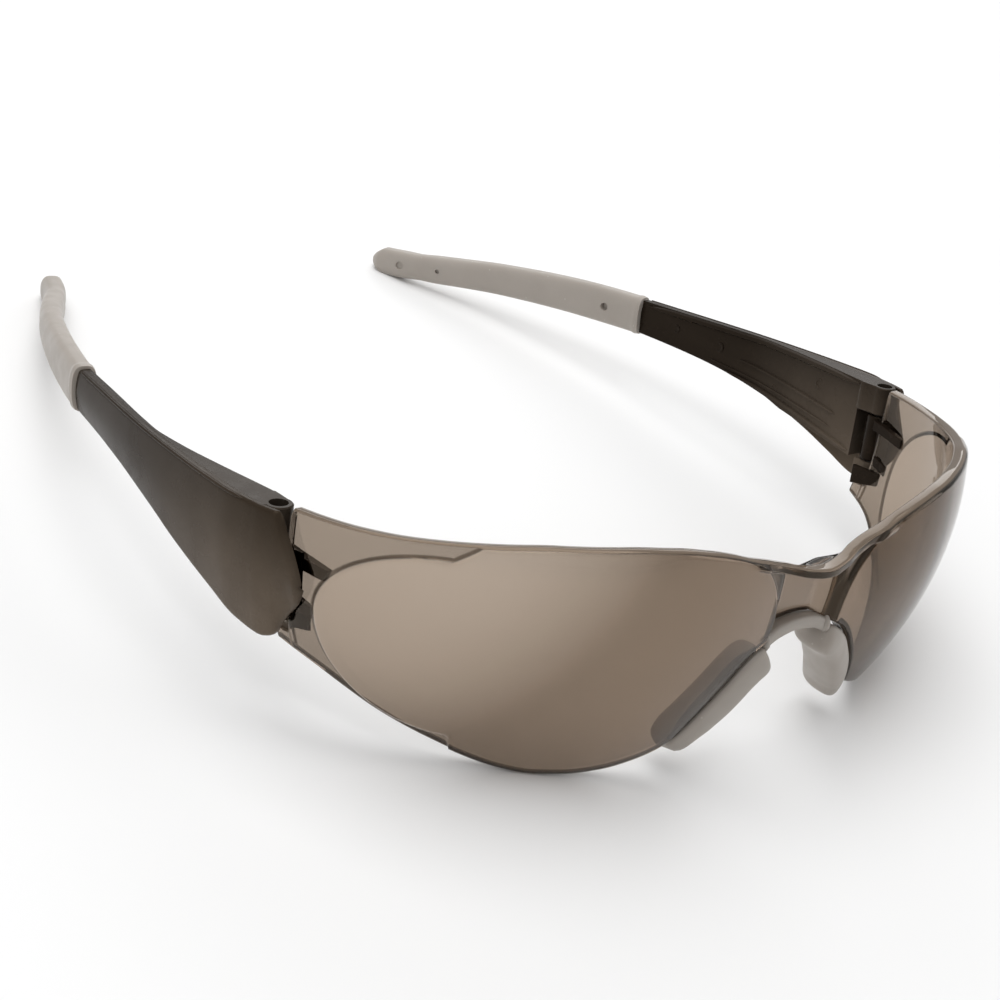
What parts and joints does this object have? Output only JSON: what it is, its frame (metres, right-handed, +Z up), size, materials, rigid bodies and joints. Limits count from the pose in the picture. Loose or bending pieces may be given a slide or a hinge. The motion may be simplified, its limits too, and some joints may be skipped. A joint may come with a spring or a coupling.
{
  "type": "safety glasses",
  "caption": "Wraparound safety glasses with a one-piece smoke lens, folding dark temples with soft grey sleeves, and a soft grey nose piece.",
  "frame": {"origin": "middle of the footprint of the glasses, open, standing on the lens's lower edge and the sleeves' ends", "axes": "+Z up, -Y the way the lens faces, +X towards the wearer's left"},
  "size_m": [0.149, 0.1684, 0.0426],
  "materials": {
    "smoke_lens": "clear smoke polycarbonate, high gloss",
    "temple_dark": "dark brown-black moulded plastic, glossy with a faint translucency",
    "soft_grey": "soft moulded elastomer, satin",
    "pin_steel": "blackened steel"
  },
  "bodies": {
    "front": {"lens": "smoke_lens", "nose_piece": "soft_grey"},
    "left_arm": {"temple_left": "temple_dark", "temple_sleeve_left": "soft_grey", "hinge_pin_left": "pin_steel"},
    "right_arm": {"temple_right": "temple_dark", "temple_sleeve_right": "soft_grey", "hinge_pin_right": "pin_steel"}
  },
  "joints": [
    {"name": "left_fold", "type": "hinge", "parent": "front", "child": "left_arm", "pos_m": [0.07, -0.03749, 0.03225], "axis": [0, 0.2071, 0.9783], "range_deg": [0, 84]},
    {"name": "right_fold", "type": "hinge", "parent": "front", "child": "right_arm", "pos_m": [-0.07, -0.03749, 0.03225], "axis": [0, -0.2071, -0.9783], "range_deg": [0, 72]}
  ]
}
